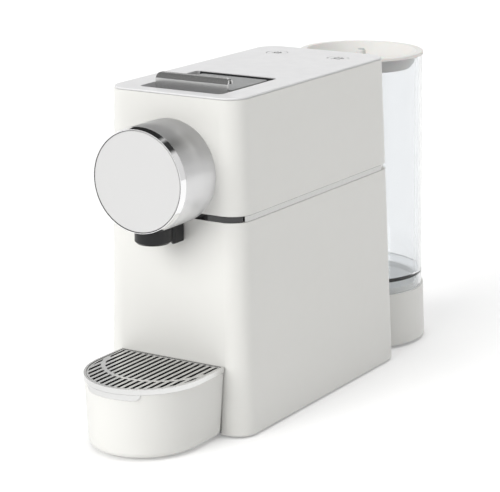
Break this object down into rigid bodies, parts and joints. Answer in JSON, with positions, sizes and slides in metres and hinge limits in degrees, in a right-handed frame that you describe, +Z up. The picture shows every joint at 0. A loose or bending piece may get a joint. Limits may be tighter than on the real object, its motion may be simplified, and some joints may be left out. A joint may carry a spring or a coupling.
{
  "type": "pod coffee machine",
  "caption": "Slim single-serve pod coffee machine with a front brew drum and spout, drip drawer with cup grid, top lever, and a clear lift-off water tank at the back.",
  "frame": {"origin": "on the surface it stands on, under the middle of the whole machine's box", "axes": "+Z up, -Y towards the front (brew drum and drip tray), +X to the right seen from the front"},
  "size_m": [0.1166, 0.396, 0.2436],
  "materials": {
    "shell_white": "satin",
    "panel_white": "satin",
    "black_plastic": "gloss",
    "dark_plastic": "matte",
    "grey_plastic": "matte",
    "chrome_trim": "polished",
    "trim_satin": "satin",
    "satin_metal": "satin",
    "steel_bright": "brushed",
    "cast_alloy": "cast",
    "clear_tank": "clear",
    "rubber_black": "matte",
    "silicone_red": "matte",
    "hose_silicone": "matte",
    "board_green": "matte",
    "lid_plastic": "satin",
    "mat_grey": "matte"
  },
  "bodies": {
    "machine": {"lower_casing": "shell_white", "upper_casing": "shell_white", "waist_frame": "shell_white", "front_trim_strip": "black_plastic", "side_trim_strips": "trim_satin", "top_panel": "panel_white", "base_plate": "grey_plastic", "rubber_feet": "rubber_black", "base_screws": "steel_bright", "cord_gland": "dark_plastic", "drum_shell": "satin_metal", "drum_ring": "chrome_trim", "face_disc": "panel_white", "disc_gasket": "rubber_black", "spout_nozzle": "dark_plastic", "spout_block": "dark_plastic", "lever_axle": "steel_bright", "pod_chute": "panel_white", "drop_guide": "grey_plastic", "brew_head": "cast_alloy", "brew_frame": "dark_plastic", "guide_rods": "steel_bright", "boiler": "cast_alloy", "boiler_sleeve": "steel_bright", "thermostat": "dark_plastic", "pump": "steel_bright", "pump_coil": "dark_plastic", "pump_mounts": "rubber_black", "flow_meter": "grey_plastic", "tank_hose": "hose_silicone", "pump_inlet_hose": "hose_silicone", "pressure_hose": "hose_silicone", "button_cable": "rubber_black", "pump_cable": "rubber_black", "control_board": "board_green", "button_board": "board_green", "tank_stand": "shell_white", "tank_socket": "panel_white", "socket_seal": "rubber_black"},
    "lever": {"lever": "steel_bright", "lever_inset": "mat_grey", "lever_cams": "dark_plastic"},
    "carriage": {"piston_carriage": "dark_plastic", "follower_pins": "steel_bright", "piston": "cast_alloy", "shower_screen": "steel_bright", "piston_gasket": "silicone_red"},
    "button_left": {"button_left": "panel_white"},
    "button_right": {"button_right": "panel_white"},
    "drawer": {"drip_drawer": "shell_white", "basin_liner": "dark_plastic", "used_pod_container": "grey_plastic", "tray_rim": "steel_bright", "thumb_tab": "steel_bright"},
    "grid": {"drip_grid": "steel_bright"},
    "tank": {"water_tank": "clear_tank", "strainer": "grey_plastic", "valve_spring": "steel_bright"},
    "tank_valve": {"tank_valve": "dark_plastic"},
    "lid": {"tank_lid": "lid_plastic"}
  },
  "joints": [
    {"name": "lever_hinge", "type": "hinge", "parent": "machine", "child": "lever", "pos_m": [0, -0.0474, 0.228], "axis": [-1, 0, 0], "range_deg": [0, 80]},
    {"name": "carriage_slide", "type": "slide", "parent": "machine", "child": "carriage", "axis": [0, 1, 0], "range_m": [0, 0.0121]},
    {"name": "button_left_press", "type": "slide", "parent": "machine", "child": "button_left", "axis": [0, 0, -1], "range_m": [0, 0.001], "stiffness_N_per_m": 900, "springref_m": -0.001},
    {"name": "button_right_press", "type": "slide", "parent": "machine", "child": "button_right", "axis": [0, 0, -1], "range_m": [0, 0.001], "stiffness_N_per_m": 900, "springref_m": -0.001},
    {"name": "drawer_slide", "type": "slide", "parent": "machine", "child": "drawer", "axis": [0, -1, 0], "range_m": [0, 0.09]},
    {"name": "grid_lift", "type": "slide", "parent": "drawer", "child": "grid", "axis": [0, 0, 1], "range_m": [0, 0.03]},
    {"name": "tank_lift", "type": "slide", "parent": "machine", "child": "tank", "axis": [0, 0, 1], "range_m": [0, 0.06]},
    {"name": "valve_slide", "type": "slide", "parent": "tank", "child": "tank_valve", "axis": [0, 0, 1], "range_m": [-0.0026, 0], "deforming": ["valve_spring"]},
    {"name": "lid_lift", "type": "slide", "parent": "tank", "child": "lid", "axis": [0, 0, 1], "range_m": [0, 0.035]}
  ],
  "couplings": [
    {"joint": "carriage_slide", "follows": "lever_hinge", "m_per_rad": 0.0085944},
    {"joint": "valve_slide", "follows": "tank_lift", "ratio": -0.043333}
  ]
}
